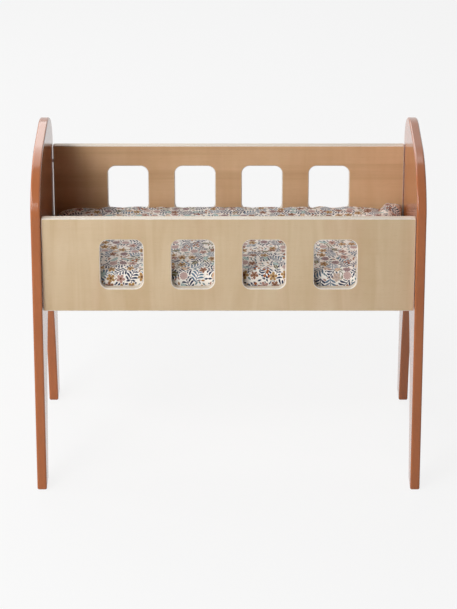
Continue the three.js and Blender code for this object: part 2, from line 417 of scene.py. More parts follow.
def bare_plywood():
    """Unfinished sheet for the base: coarser, drier, with a few darker growth lines."""
    material, tree = new_material("bare_plywood", IOR=1.4)
    place = object_place(tree)
    clouds = noise(tree, place, (6.0, 16.0, 40.0), 4.0, 0.6, 0.8)
    rings = noise(tree, place, (2.0, 34.0, 60.0), 3.0, 0.6, 0.6)
    grain = noise(tree, place, (14.0, 500.0, 500.0), 3.0, 0.65)
    colour = blend(tree, spread(clouds, 0.3, 0.7), "d8bd95", "caa677")
    colour = blend(tree, spread(rings, 0.52, 0.66) * 0.5, colour, "b38a5a")
    colour = blend(tree, spread(grain, 0.5, 0.8) * 0.4, colour, "a67f52")
    roughness = spread(grain, 0.2, 0.8, 0.62, 0.78)
    return dress(material, colour, roughness, grain, 0.12 * MM, 0.6)


def planed_pine():
    """Planed pine for the battens: straight growth rings along X, darker on their late side."""
    material, tree = new_material("pine_batten", IOR=1.45)
    place = object_place(tree)
    wander = noise(tree, place, (5.0, 30.0, 30.0), 2.0)
    _, y, z = parts_of(tree, place)
    ring = ((y + z * 0.45) * 420.0 + wander * 2.6).math("FRACT")
    grain = noise(tree, place, (16.0, 700.0, 700.0), 3.0, 0.6)
    colour = blend(tree, spread(ring, 0.35, 0.95) * 0.75, "e6cfa4", "bd8b4f")
    colour = blend(tree, spread(grain, 0.5, 0.8) * 0.3, colour, "a87842")
    roughness = spread(ring, 0.0, 1.0, 0.62, 0.5)
    return dress(material, colour, roughness, grain + ring * 0.4, 0.1 * MM, 0.5)


def zinc_plate():
    """Zinc-plated steel, clouded and finely scratched."""
    material, tree = new_material("zinc_plated_steel", Metallic=1.0)
    place = object_place(tree)
    dull = noise(tree, place, 500.0, 3.0, 0.6)
    scratches = noise(tree, place, (300.0, 4000.0, 900.0), 2.0)
    colour = blend(tree, spread(dull, 0.3, 0.7), "c2c4c6", "9b9c9b")
    roughness = spread(dull, 0.2, 0.8, 0.26, 0.42) + scratches * 0.06
    return dress(material, colour, roughness, scratches, 0.02 * MM, 0.5)


def cotton_thread():
    """Off-white cotton thread, with painted light and shade of its twist in its colour."""
    material, tree = new_material("cotton_thread", IOR=1.45, Sheen_Weight=0.3)
    twist = noise(tree, object_place(tree), 2600.0, 1.0)
    # Painted light and shade: the colour turns paler and darker with the same noise that gives the twist
    # its relief
    colour = blend(tree, spread(twist, 0.35, 0.65), "efe8dd", "d2c7b8")
    roughness = spread(twist, 0.2, 0.8, 0.8, 0.95)
    return dress(material, colour, roughness, twist, 0.08 * MM, 0.7)


# The printed cover. Its motifs are drawn in millimetres, and then printed PRINT_SCALE larger

def print_place(tree):
    """The place on the cloth, in millimetres of the drawing."""
    uv = new_node(tree, "ShaderNodeTexCoord").outputs["UV"]
    drawing = PAD_UV / MM / PRINT_SCALE
    return scaled(tree, uv, (drawing, drawing, 0.0))


def motif_places(tree, cloth, spacing, looseness):
    """Motifs scattered about one spacing apart, each turned its own way. Returns the place across
    and along the nearest one, and two random numbers that choose its kind and its ink."""
    cells = new_node(tree, "ShaderNodeTexVoronoi", {
        "Vector": cloth, "Scale": 1.0 / spacing, "Randomness": looseness}, voronoi_dimensions="2D")
    offset = output(tree, "ShaderNodeVectorMath", {
        0: cloth, 1: cells.outputs["Position"]}, operation="SUBTRACT")
    kind, turn, pick = parts_of(tree, cells.outputs["Color"])
    turned = output(tree, "ShaderNodeVectorRotate", {
        "Vector": offset, "Angle": turn * math.tau}, rotation_type="Z_AXIS")
    across, along, _ = parts_of(tree, turned)
    return across, along, kind, pick


def distance(a, b):
    return (a * a + b * b).math("SQRT")


def oval(along, half):
    """1 at the middle of a motif, falling in a curve to 0 at its half length."""
    return ((along / half) * (along / half)).flipped()


def picked_ink(tree, pick, ink, *others):
    """One ink out of several: each of the others takes the numbers that are under its limit."""
    for limit, other in others:
        ink = blend(tree, pick.below(limit, SURE_EDGE), ink, other)
    return ink


def petal_rim(angle, pairs, tip, hollow):
    """The wave of a flower's petals, 1 at each tip, and the flower's rim, which follows it."""
    wave = (angle * pairs).math("COSINE").size()
    return wave, wave * (tip - hollow) + hollow


def leaf_layer(tree, cloth, ground):
    """Single leaves and dots, all over the ground."""
    across, along, kind, pick = motif_places(tree, cloth, spacing=4.4, looseness=0.8)
    leaf = across.size().below(oval(along, 2.4) * 0.95)
    dot = distance(across, along).below(0.85)
    is_leaf = kind.below(0.8, SURE_EDGE)
    drawn = leaf * is_leaf + dot * is_leaf.flipped()
    ink = picked_ink(tree, pick, "6c8388", (0.70, "9a6f45"), (0.50, "2f3a54"), (0.20, "ad8375"))
    return blend(tree, drawn, ground, ink)


def sprig_layer(tree, cloth, under, ground):
    """Sprigs: a comb of slanting leaflets on both sides of a stem, in a clearing of plain ground."""
    across, along, kind, pick = motif_places(tree, cloth, spacing=14.5, looseness=0.5)
    arm = oval(along, 9.0).at_least(0.0) * 7.2
    out = across.size() / arm.at_least(0.1)
    leaflet_share = (out * (out.flipped() + 0.10)).at_least(0.0) * 2.1
    leaflets = ((along - across.size() * 0.5 + 60.0) / 3.5).math("FRACT").below(leaflet_share, 0.12)
    stem = across.size().below(0.36) * along.size().below(8.2)
    sprig = (out.below(1.0, 0.1) * leaflets).at_least(stem)
    is_sprig = kind.below(0.72, SURE_EDGE)
    clearing = across.size().below(arm + 0.3) * is_sprig
    ink = picked_ink(tree, pick, "5b7389", (0.74, "2a3350"), (0.12, "76725a"))
    colour = blend(tree, clearing, under, ground)
    return blend(tree, sprig * is_sprig, colour, ink)


def flower_layer(tree, cloth, under, ground):
    """Blossoms, ball flowers, broad leaves and berries in threes, on top of the rest."""
    across, along, kind, pick = motif_places(tree, cloth, spacing=11.2, looseness=0.62)
    reach = distance(across, along)
    angle = along.math("ARCTAN2", across)
    eye = reach.below(1.25)
    off_eye = eye.flipped()

    def chosen(low, high):
        return kind.below(high, SURE_EDGE) * kind.below(low, SURE_EDGE).flipped()

    is_blossom = chosen(0.0, 0.38)
    wave, blossom_rim = petal_rim(angle, pairs=2.5, tip=4.9, hollow=2.5)
    blossom = reach.below(blossom_rim)
    fold = wave.below(0.25, 0.15) * off_eye
    blossom_ink = picked_ink(tree, pick, "b08a80", (0.80, "8c6049"), (0.46, "a88350"))
    blossom_ink = blend(tree, fold * 0.6, blossom_ink, "e2cfba")
    blossom_ink = blend(tree, eye, blossom_ink, "6d4630")

    is_ball = chosen(0.38, 0.50)
    frill, ball_rim = petal_rim(angle, pairs=5.5, tip=4.5, hollow=3.6)
    ball = reach.below(ball_rim)
    frill_lines = frill.below(0.35, 0.3) * off_eye
    ball_ink = picked_ink(tree, pick, "8b7072", (0.55, "b79a94"))
    ball_ink = blend(tree, frill_lines * 0.5, ball_ink, "e0cdc6")

    is_broad_leaf = chosen(0.50, 0.66)
    broad_leaf = across.size().below(oval(along, 5.2) * 2.4)
    rib = across.size().below(0.24)
    leaf_ink = picked_ink(tree, pick, "a3bbb8", (0.55, "d2ae8c"), (0.20, "756a45"))
    leaf_ink = blend(tree, rib, leaf_ink, "d3dad6")

    is_berries = chosen(0.66, 0.76)
    third = (((angle / math.tau + 1.0) * 3.0).math("FRACT") - 0.5) * (math.tau / 3.0)
    berry_side = reach * third.math("SINE")
    berry_out = reach * third.math("COSINE") - 2.7
    berries = distance(berry_side, berry_out).below(1.55)

    blossom_clearing = reach.below(blossom_rim + 0.8) * is_blossom
    ball_clearing = reach.below(ball_rim + 0.8) * is_ball
    colour = blend(tree, blossom_clearing.at_least(ball_clearing), under, ground)
    colour = blend(tree, blossom * is_blossom, colour, blossom_ink)
    colour = blend(tree, ball * is_ball, colour, ball_ink)
    colour = blend(tree, broad_leaf * is_broad_leaf, colour, leaf_ink)
    return blend(tree, berries * is_berries, colour, "a05f38")


def plain_weave(tree, cloth):
    """The relief of plain-weave cloth: one thread over and one under, by turns."""
    pitch = WEAVE_PITCH / PRINT_SCALE
    u, v, _ = parts_of(tree, cloth)
    warp = (u * (math.pi / pitch)).math("SINE")
    weft = (v * (math.pi / pitch)).math("SINE")
    return (warp * weft).size().math("SQRT")


def printed_cotton():
    """Plain-weave cotton with an all-over print of small flowers, sprigs, leaves and berries."""
    material, tree = new_material(
        "printed_cotton", IOR=1.4, Sheen_Weight=0.06, Sheen_Roughness=0.5)
    cloth = print_place(tree)
    clouds = noise(tree, cloth, 0.05, 3.0)
    ground = blend(tree, spread(clouds, 0.3, 0.7), "f7f2eb", "ede7df")
    colour = leaf_layer(tree, cloth, ground)
    colour = sprig_layer(tree, cloth, colour, ground)
    colour = flower_layer(tree, cloth, colour, ground)
    slubs = noise(tree, cloth, (0.25, 2.2, 1.0), 3.0, 0.6)
    roughness = spread(slubs, 0.2, 0.8, 0.82, 0.95)
    relief = plain_weave(tree, cloth) + slubs * 0.6
    return dress(material, colour, roughness, relief, 0.09 * MM, 0.5)


# Outlines, as counterclockwise rows of flat points

def straight(start, end):
    return [np.array(start, float), np.array(end, float)]


def quadratic(start, corner, end, steps):
    t = np.linspace(0, 1, steps + 1)[:, None]
    a, b, c = (np.array(p, float) for p in (start, corner, end))
    return list((1 - t) ** 2 * a + 2 * (1 - t) * t * b + t ** 2 * c)


def cubic(start, lead, trail, end, steps):
    t = np.linspace(0, 1, steps + 1)[:, None]
    a, b, c, d = (np.array(p, float) for p in (start, lead, trail, end))
    return list((1 - t) ** 3 * a + 3 * (1 - t) ** 2 * t * b + 3 * (1 - t) * t ** 2 * c + t ** 3 * d)


def arc(centre, radii, start, end, steps):
    turn = np.linspace(start, end, steps + 1)
    return list(np.stack([centre[0] + radii[0] * np.cos(turn), centre[1] + radii[1] * np.sin(turn)], 1))


def closed(stretches, same=1e-6):
    """One closed outline from its stretches, with each shared point kept once."""
    points = [p for stretch in stretches for p in stretch]
    kept = [p for i, p in enumerate(points) if np.linalg.norm(p - points[(i + 1) % len(points)]) > same]
    return np.array(kept)


def round_rectangle(centre, width, height, radius, steps):
    corners = [(1, 1), (-1, 1), (-1, -1), (1, -1)]
    return closed([
        arc((centre[0] + sx * (width / 2 - radius), centre[1] + sy * (height / 2 - radius)),
            (radius, radius), q * math.pi / 2, (q + 1) * math.pi / 2, steps)
        for q, (sx, sy) in enumerate(corners)])


def mirrored(points):
    """The other half of a symmetrical outline."""
    return [p * (-1, 1) for p in reversed(points)]


def end_outline():
    """An end board seen from its side: two tapered legs, two elliptical shoulders and the arch. Its
    long sides have points along them, so that the faces next to them are even in size."""
    instep = FOOT - FOOT_WIDTH
    side_foot = FOOT - (FOOT - SHOULDER) * SOLE_ROUND / SHOULDER_HEIGHT
    sole = SOLE_ROUND
    side = [np.array((side_foot + (SHOULDER - side_foot) * t, sole + (SHOULDER_HEIGHT - sole) * t))
            for t in np.linspace(0, 1, SIDE_STEPS + 1)]
    outside = [
        *straight((instep + sole, 0), (FOOT - sole, 0)),
        *quadratic((FOOT - sole, 0), (FOOT, 0), (side_foot, sole), SOLE_STEPS),
        *side,
        *arc((SHOULDER - SHOULDER_REACH, SHOULDER_HEIGHT), (SHOULDER_REACH, BED_HEIGHT - SHOULDER_HEIGHT),
             0, math.pi / 2, SHOULDER_STEPS),
    ]
    arch = [
        *quadratic((-instep - sole, 0), (-instep, 0), (-instep, sole), SOLE_STEPS),
        *cubic((-instep, sole), (ARCH_SIDE_LEAN - instep, ARCH_SIDE_RISE),
               (-ARCH_TOP_REACH, ARCH_HEIGHT), (0, ARCH_HEIGHT), ARCH_STEPS),
    ]
    return closed([outside, mirrored(outside), arch, mirrored(arch)])


# Boards. A board is built from rings: each is its flat points, its depth, and 1 where it is an edge

def inset(points, reach):
    """A counterclockwise outline moved inwards by a distance, corner by corner."""
    before = points - np.roll(points, 1, 0)
    after = np.roll(points, -1, 0) - points
    before /= np.linalg.norm(before, axis=1)[:, None]
    after /= np.linalg.norm(after, axis=1)[:, None]
    inward_before = np.stack([-before[:, 1], before[:, 0]], 1)
    inward_after = np.stack([-after[:, 1], after[:, 0]], 1)
    mitre = inward_before + inward_after
    mitre /= (1 + (inward_before * inward_after).sum(1))[:, None]
    return points + reach * mitre


def eased_rings(points, thickness, ease, steps, flat_rim, inward=1.0):
    """The rings of an edge from one face of a board to the other: a rounded arris, the flat of the
    edge, and the other arris. A narrow flat rim on each side keeps the shading of the flats even.
    inward is 1 for an outline and -1 for a window, whose material lies outside it."""
    half = [(ease + flat_rim, 0.0, 0.0)]
    for step in range(steps + 1):
        turn = step / steps * math.pi / 2
        half.append((ease * (1 - math.sin(turn)), ease * (1 - math.cos(turn)), 1.0 if step else 0.0))
    half.append((0.0, ease + flat_rim, 1.0))
    profile = half + [(shrink, thickness - depth, mark) for shrink, depth, mark in reversed(half)]
    return [(inset(points, inward * shrink), depth, mark) for shrink, depth, mark in profile]


def screw_hole_rings(centre, screw, thickness):
    """The rings of a countersunk hole that goes through a board, starting at the head's side."""
    head = screw["head"] / 2 + HOLE_GAP
    shank = screw["shank"] / 2 + HOLE_GAP
    rim_depth = screw["sink"] + screw["rim"]
    profile = [
        (head + HOLE_FLAT_RIM, 0.0), (head + HOLE_EASE, 0.0), (head, HOLE_EASE), (head, rim_depth),
        (shank, rim_depth + screw["cone"]), (shank, thickness - HOLE_EASE),
        (shank + HOLE_EASE, thickness), (shank + HOLE_FLAT_RIM, thickness)]
    turn = np.linspace(0, math.tau, HOLE_SIDES + 1)[:-1]
    circle = np.stack([np.cos(turn), np.sin(turn)], 1)
    return [(np.array(centre) + radius * circle, depth, 0.0 if depth in (0, thickness) else 1.0)
            for radius, depth in profile]


def board_mesh(name, outer, holes, place):
    """A closed board from the rings of its outline and of its holes. place turns a flat point and a
    depth into a point of the bed."""
    mesh = bmesh.new()
    edge_layer = mesh.verts.layers.float.new("edge")
    faces = [[], []]
    for rings in [outer, *holes]:
        loops = []
        for points, depth, mark in rings:
            loop = []
            for p in points:
                vertex = mesh.verts.new(place(p[0], p[1], depth))
                vertex[edge_layer] = mark
                loop.append(vertex)
            loops.append(loop)
        for first, second in zip(loops, loops[1:]):
            for i in range(len(first)):
                j = (i + 1) % len(first)
                mesh.faces.new((first[i], first[j], second[j], second[i]))
        faces[0].append(loops[0])
        faces[1].append(loops[-1])
    for loops in faces:
        row = [v for loop in loops for v in loop]
        for triangle in tessellate_polygon([[v.co for v in loop] for loop in loops]):
            mesh.faces.new([row[i] for i in triangle])
    bmesh.ops.recalc_face_normals(mesh, faces=mesh.faces)
    return mesh_object(name, mesh)


def mesh_object(name, mesh):
    """A smooth-shaded object from a bmesh."""
    for face in mesh.faces:
        face.smooth = True
    data = bpy.data.meshes.new(name)
    mesh.to_mesh(data)
    mesh.free()
    return shown_object(name, data)


def shown_object(name, data):
    made = bpy.data.objects.new(name, data)
    bpy.context.scene.collection.objects.link(made)
    return made


def paint(piece, material):
    piece.data.materials.clear()
    piece.data.materials.append(material)


def finish_piece(piece, body, nodes, material):
    """Dresses a finished piece and ties it to the frame."""
    paint(piece, material)
    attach(piece, body)
    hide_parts(*nodes)


def build_end_board(side, name, material):
    rings = eased_rings(end_outline(), END_THICKNESS, END_EASE, END_EASE_STEPS, END_FLAT_RIM)
    holes = [screw_hole_rings(spot, END_SCREW, END_THICKNESS) for spot in END_SCREW_SPOTS]
    piece = board_mesh(f"{name}_end_board", rings, holes,
                       lambda y, z, depth: (side * (END_OUTER - depth), y, z))
    finish_piece(piece, "frame", [f"{name}_end_panel"], material)


def build_long_board(side, name, left_gap, right_gap, material):
    inner = END_OUTER - END_THICKNESS
    length = 2 * inner - left_gap - right_gap
    middle = ((left_gap - right_gap) / 2, (PANEL_TOP + PANEL_BOTTOM) / 2)
    edge = (PANEL_THICKNESS, PANEL_EASE, PANEL_EASE_STEPS, PANEL_FLAT_RIM)
    outline = round_rectangle(middle, length, PANEL_TOP - PANEL_BOTTOM, PANEL_CORNER, PANEL_CORNER_STEPS)
    windows = [
        round_rectangle((x, WINDOW_MIDDLE), WINDOW_WIDTH, WINDOW_HEIGHT, WINDOW_CORNER, WINDOW_CORNER_STEPS)
        for x in WINDOW_PLACES]
    piece = board_mesh(f"{name}_board", eased_rings(outline, *edge),
                       [eased_rings(window, *edge, inward=-1.0) for window in windows],
                       lambda x, z, depth: (x, side * (PANEL_OUTER - depth), z))
    finish_piece(piece, "frame", [f"{name}_panel"], material)


# Geometry Nodes

def geometry_tree(name, inputs):
    """A new geometry tree with its named inputs: returns the tree, its geometry, and a wire for each
    input."""
    tree = bpy.data.node_groups.new(name, "GeometryNodeTree")
    tree.interface.new_socket("Geometry", in_out="INPUT", socket_type="NodeSocketGeometry")
    tree.interface.new_socket("Geometry", in_out="OUTPUT", socket_type="NodeSocketGeometry")
    for label in inputs:
        tree.interface.new_socket(label, in_out="INPUT", socket_type="NodeSocketFloat")
    start = tree.nodes.new("NodeGroupInput")
    wires = {label: Wire(tree, start.outputs[label]) for label in inputs}
    return tree, start.outputs["Geometry"], wires


def end_tree(tree, geometry, material):
    """Realize Instances, Set Material, and the way out."""
    real = output(tree, "GeometryNodeRealizeInstances", {"Geometry": geometry})
    dressed = output(tree, "GeometryNodeSetMaterial", {"Geometry": real, "Material": material})
    new_node(tree, "NodeGroupOutput", {0: dressed})


def run_tree(holder, tree, inputs, name):
    """Runs a geometry tree on an object, and returns the result as a plain mesh object."""
    modifier = holder.modifiers.new(tree.name, "NODES")
    modifier.node_group = tree
    identifiers = {item.name: item.identifier for item in tree.interface.items_tree
                   if item.item_type == "SOCKET" and item.in_out == "INPUT"}
    for label, value in inputs.items():
        modifier[identifiers[label]] = value
    holder.update_tag()
    graph = bpy.context.evaluated_depsgraph_get()
    graph.update()
    data = bpy.data.meshes.new_from_object(holder.evaluated_get(graph), depsgraph=graph)
    holder.modifiers.remove(modifier)
    bpy.data.objects.remove(holder)
    data.name = name
    return shown_object(name, data)


def named_value(tree, name, kind):
    node = new_node(tree, "GeometryNodeInputNamedAttribute", {"Name": name}, data_type=kind)
    return node.outputs["Attribute"]


def moved(tree, geometry, **inputs):
    """A geometry that is moved, turned or scaled."""
    return output(tree, "GeometryNodeTransform", {"Geometry": geometry, **inputs})


def swept(tree, curve, profile, scale=1.0):
    """A profile swept along a curve as a closed mesh."""
    return output(tree, "GeometryNodeCurveToMesh", {
        "Curve": curve, "Profile Curve": profile, "Scale": scale, "Fill Caps": True})


def by_index(tree, values):
    """The value for each point of a line, by the point's number."""
    node = new_node(tree, "GeometryNodeIndexSwitch", data_type="FLOAT")
    while len(node.index_switch_items) < len(values):
        node.index_switch_items.new()
    feed(tree, node.inputs["Index"], output(tree, "GeometryNodeInputIndex"))
    for slot, value in zip([s for s in node.inputs if s.name != "Index"], values):
        feed(tree, slot, value)
    return Wire(tree, node.outputs[0])


# Screws

def screw_body(tree, size, tip):
    """Head, cone, shank and point: a ring swept down a line whose radius changes by steps."""
    head, shank = size["Head"] / 2.0, size["Shank"] / 2.0
    levels = [0.0, size["Rim"] * -1.0, (size["Rim"] + size["Cone"]) * -1.0,
              tip + size["Point"], tip + size["Point"] * 0.1, tip]
    radii = [head, head, shank, shank, size["Shank"] * 0.12, size["Shank"] * 0.03]
    line = output(tree, "GeometryNodeCurvePrimitiveLine", {"End": (0.0, 0.0, -1.0)})
    marks = output(tree, "GeometryNodeResampleCurve", {"Curve": line, "Count": len(levels)})
    placed = output(tree, "GeometryNodeSetPosition", {
        "Geometry": marks, "Position": vector_of(tree, 0.0, 0.0, by_index(tree, levels))})
    wide = output(tree, "GeometryNodeSetCurveRadius", {"Curve": placed, "Radius": by_index(tree, radii)})
    ring = output(tree, "GeometryNodeCurvePrimitiveCircle", {"Resolution": SCREW_SIDES, "Radius": 1.0})
    return swept(tree, wide, ring, scale=output(tree, "GeometryNodeInputRadius"))


def cut_recess(tree, body, size):
    """Cuts a cross recess into the head: two tapering blades at right angles."""
    cut = new_node(tree, "GeometryNodeMeshBoolean", {"Mesh 1": body},
                   operation="DIFFERENCE", solver="EXACT")
    head = size["Head"]
    for turn in (0.0, math.pi / 2):
        blade = output(tree, "GeometryNodeMeshCone", {
            "Vertices": 4, "Radius Top": RECESS_TOP, "Radius Bottom": RECESS_TIP, "Depth": 1.0},
            fill_type="NGON")
        square = moved(tree, blade, Rotation=(0.0, 0.0, math.pi / 4))
        placed = moved(
            tree, square, Rotation=(0.0, 0.0, turn),
            Scale=vector_of(tree, head * RECESS_LONG, head * RECESS_THICK, head * RECESS_TALL),
            Translation=vector_of(tree, 0.0, 0.0, head * -RECESS_SUNK))
        tree.links.new(placed, cut.inputs["Mesh 2"])
    return cut.outputs["Mesh"]


def screw_thread(tree, size, tip):
    """A low ridge wound round the lower part of the shank."""
    plain = size["Length"] - size["Point"] - size["Rim"] - size["Cone"]
    turns = plain / (size["Shank"] * THREAD_PITCH)
    winding = output(tree, "GeometryNodeCurveSpiral", {
        "Resolution": THREAD_STEPS, "Rotations": turns * THREAD_RUN, "Start Radius": size["Shank"] / 2.0,
        "End Radius": size["Shank"] / 2.0, "Height": plain * THREAD_RUN})
    ridge = output(tree, "GeometryNodeCurvePrimitiveCircle", {
        "Resolution": 3, "Radius": size["Thread Rise"]})
    thread = swept(tree, winding, ridge)
    return moved(tree, thread, Translation=vector_of(tree, 0.0, 0.0, tip + size["Point"]))


def screw_tree(material):
    """A countersunk screw with a cross recess and a thread on each point of a mesh, its head along
    the point's facing and its recess turned by the point's twist."""
    tree, points, size = geometry_tree("countersunk_screws", [*SCREW_SIZES, "Thread Rise"])
    tip = size["Length"] * -1.0
    whole = tree.nodes.new("GeometryNodeJoinGeometry")
    tree.links.new(cut_recess(tree, screw_body(tree, size, tip), size), whole.inputs[0])
    tree.links.new(screw_thread(tree, size, tip), whole.inputs[0])
    aim = output(tree, "FunctionNodeAlignRotationToVector", {
        "Vector": named_value(tree, "facing", "FLOAT_VECTOR")}, axis="Z")
    spin = output(tree, "FunctionNodeAxisAngleToRotation", {
        "Axis": (0.0, 0.0, 1.0), "Angle": named_value(tree, "twist", "FLOAT")})
    pose = output(tree, "FunctionNodeRotateRotation", {
        "Rotation": aim, "Rotate By": spin}, rotation_space="LOCAL")
    copies = output(tree, "GeometryNodeInstanceOnPoints", {
        "Points": points, "Instance": whole.outputs[0], "Rotation": pose})
    end_tree(tree, copies, material)
    return tree


def points_object(name, places, **attributes):
    """A mesh of loose points that carry named values."""
    data = bpy.data.meshes.new(name)
    data.from_pydata([tuple(p) for p in places], [], [])
    for label, values in attributes.items():
        vectors = np.ndim(values[0]) > 0
        layer = data.attributes.new(label, "FLOAT_VECTOR" if vectors else "FLOAT", "POINT")
        layer.data.foreach_set("vector" if vectors else "value", np.array(values, np.float32).ravel())
    return shown_object(name, data)


def build_screws(name, screw, places, nodes, tree, material):
    """One piece that holds every screw of a set. places pairs the flat of each head with its facing."""
    rng = np.random.default_rng(len(name))
    twists = list(rng.uniform(0, math.pi, len(places)))
    holder = points_object(f"{name}_points", [p for p, _ in places],
                           facing=[f for _, f in places], twist=twists)
    sizes = {label: screw[label.lower()] for label in SCREW_SIZES}
    piece = run_tree(holder, tree, {**sizes, "Thread Rise": THREAD_RISE}, name)
    piece.data.polygons.foreach_set("use_smooth", [True] * len(piece.data.polygons))
    piece.data.set_sharp_from_angle(angle=SCREW_SMOOTH_ANGLE)
    finish_piece(piece, "frame", nodes, material)


def end_screw_places(side):
    flat = side * (END_OUTER - END_SCREW["sink"])
    return [((flat, y, z), (side, 0.0, 0.0)) for y, z in END_SCREW_SPOTS]


def batten_screw_places(side):
    low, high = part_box("front_batten")
    face = min(abs(low.y), abs(high.y)) + BATTEN_SCREW["sink"]
    middle = (low.z + high.z) / 2
    return [((x, side * face, middle), (0.0, -side, 0.0)) for x in BATTEN_SCREW_ROW]


def base_screw_places():
    low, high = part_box("front_batten")
    line = (abs(low.y) + abs(high.y)) / 2
    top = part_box("base_board")[1].z - BASE_SCREW["sink"]
    return [((x, side * line, top), (0.0, 0.0, 1.0)) for side in (-1, 1) for x in BASE_SCREW_ROW]


# Mattress. A share runs from -1 at one side of the pad to 1 at the other

def fullness(share, power=PAD_FULLNESS):
    """The height of the pad's cross-section at a share of its width, as a share of its full height."""
    return np.sqrt(np.maximum(0.0, 1.0 - np.abs(share) ** power))


def ramp(value, start, end):
    """A smooth rise from 0 at the start to 1 at the end."""
    t = np.clip((value - start) / (end - start), 0.0, 1.0)
    return t * t * (3.0 - 2.0 * t)


def profile_shares(half, swell, count, front=PAD_FULLNESS):
    """Shares that are evenly spaced along the curve of the pad's cross-section, so that the cloth's
    mesh has one size all over, and the length of that curve."""
    fine = np.sin(np.linspace(-math.pi / 2, math.pi / 2, 2001))
    across, up = fine * half, swell * fullness(fine, np.where(fine < 0, front, PAD_FULLNESS))
    run = np.concatenate([[0.0], np.cumsum(np.hypot(np.diff(across), np.diff(up)))])
    even = np.linspace(0.0, run[-1], count + 1)
    return np.interp(even, run, fine), run[-1]


def full_pad_places(a, b):
    """The places of the full pad's two sheets, for the shares a along it and b across it: the ends
    and the back are a little hollow, the front bulges, and the right back corner turns up."""
    x = a * (PAD_LENGTH / 2 - PAD_END_HOLLOW * (1 - b ** 2))
    y = b * (PAD_WIDTH / 2 - PAD_BACK_HOLLOW * (1 - a ** 2) * (b > 0))
    y = y - PAD_FRONT_BULGE * ramp(-b, *BULGE_FORWARD)
    turn_up = ramp(a, *EAR_ALONG) * ramp(b, *EAR_BACKWARD)
    front_to_back = fullness(b, np.where(b < 0, PAD_FRONT_FULLNESS, PAD_FULLNESS))
    body = fullness(a) * front_to_back * (1 - EAR_THINNING * turn_up)
    crown = PAD_CROWN * ramp(-b, *CROWN_FORWARD)
    seam = PAD_SEAM_HEIGHT + EAR_RISE * turn_up
    upper = np.stack([x, y, seam + (PAD_RISE + crown) * body], -1)
    under = np.stack([x, y, seam - PAD_UNDER * body], -1)
    return upper, under


def squares(grid):
    """The four corners of each square of a grid, in turn round the square."""
    return np.stack([grid[:-1, :-1], grid[1:, :-1], grid[1:, 1:], grid[:-1, 1:]], 2)


def upper_and_under(upper, under):
    """One row for the points of both sheets, which share the rim of the upper one."""
    return np.concatenate([upper.reshape(-1, 3), under[1:-1, 1:-1].reshape(-1, 3)])


def pad_sheets():
    """The mattress as its two sheets before stuffing settles: places of the full pad, places of the
    flat-cut cloth, the faces, the flat place of each corner of each face, and the seam's points."""
    along, length = profile_shares(PAD_LENGTH / 2, PAD_RISE, PAD_STEPS_LONG)
    across, width = profile_shares(PAD_WIDTH / 2, PAD_RISE, PAD_STEPS_WIDE, PAD_FRONT_FULLNESS)
    places = upper_and_under(*full_pad_places(*np.meshgrid(along, across, indexing="ij")))

    x, y = np.meshgrid(np.linspace(-length / 2, length / 2, PAD_STEPS_LONG + 1),
                       np.linspace(-width / 2, width / 2, PAD_STEPS_WIDE + 1), indexing="ij")
    lift = np.zeros(x.shape)
    lift[1:-1, 1:-1] = SHEET_LIFT
    flat = upper_and_under(np.stack([x, y, lift], -1), np.stack([x, y, -lift], -1))

    upper = np.arange(x.size).reshape(x.shape)
    under = upper.copy()
    under[1:-1, 1:-1] = np.arange(x.size, len(places)).reshape(lift[1:-1, 1:-1].shape)
    faces = np.concatenate([squares(upper), squares(under)[:, :, ::-1]]).reshape(-1, 4)
    seam = np.concatenate([upper[:-1, 0], upper[-1, :-1], upper[:0:-1, -1], upper[0, :0:-1]])

    uv = squares(np.stack([(x + length / 2) / PAD_UV, (y + width / 2) / PAD_UV], -1))
    corners = np.concatenate([uv, uv[:, :, ::-1] + (0.0, UNDER_SHEET_UV)])
    return places, flat, faces.tolist(), corners, seam.tolist()


def sew_pad():
    """The mesh of the full pad with the UV map of its print, the places of its points when full and
    when cut flat, and the points of its seam."""
    places, flat, faces, corners, seam = pad_sheets()
    data = bpy.data.meshes.new("mattress_pad")
    data.from_pydata([tuple(p) for p in places], [], faces)
    uv = data.uv_layers.new(name="cloth")
    uv.data.foreach_set("uv", corners.astype(np.float32).ravel())
    return shown_object("mattress_pad", data), places, flat, seam


def weight_group(pad, name, weights):
    group = pad.vertex_groups.new(name=name)
    for number, weight in enumerate(weights):
        group.add([number], float(weight), "REPLACE")
    return group


def settled_places(pad):
    """Runs the cloth for its frames, and returns the places where its points come to rest."""
    scene = bpy.context.scene
    for step in range(1, SETTLE_FRAMES + 1):
        scene.frame_set(step)
    settled = pad.evaluated_get(bpy.context.evaluated_depsgraph_get())
    mesh = settled.to_mesh()
    places = np.empty(len(mesh.vertices) * 3)
    mesh.vertices.foreach_get("co", places)
    settled.to_mesh_clear()
    return places.reshape(-1, 3)


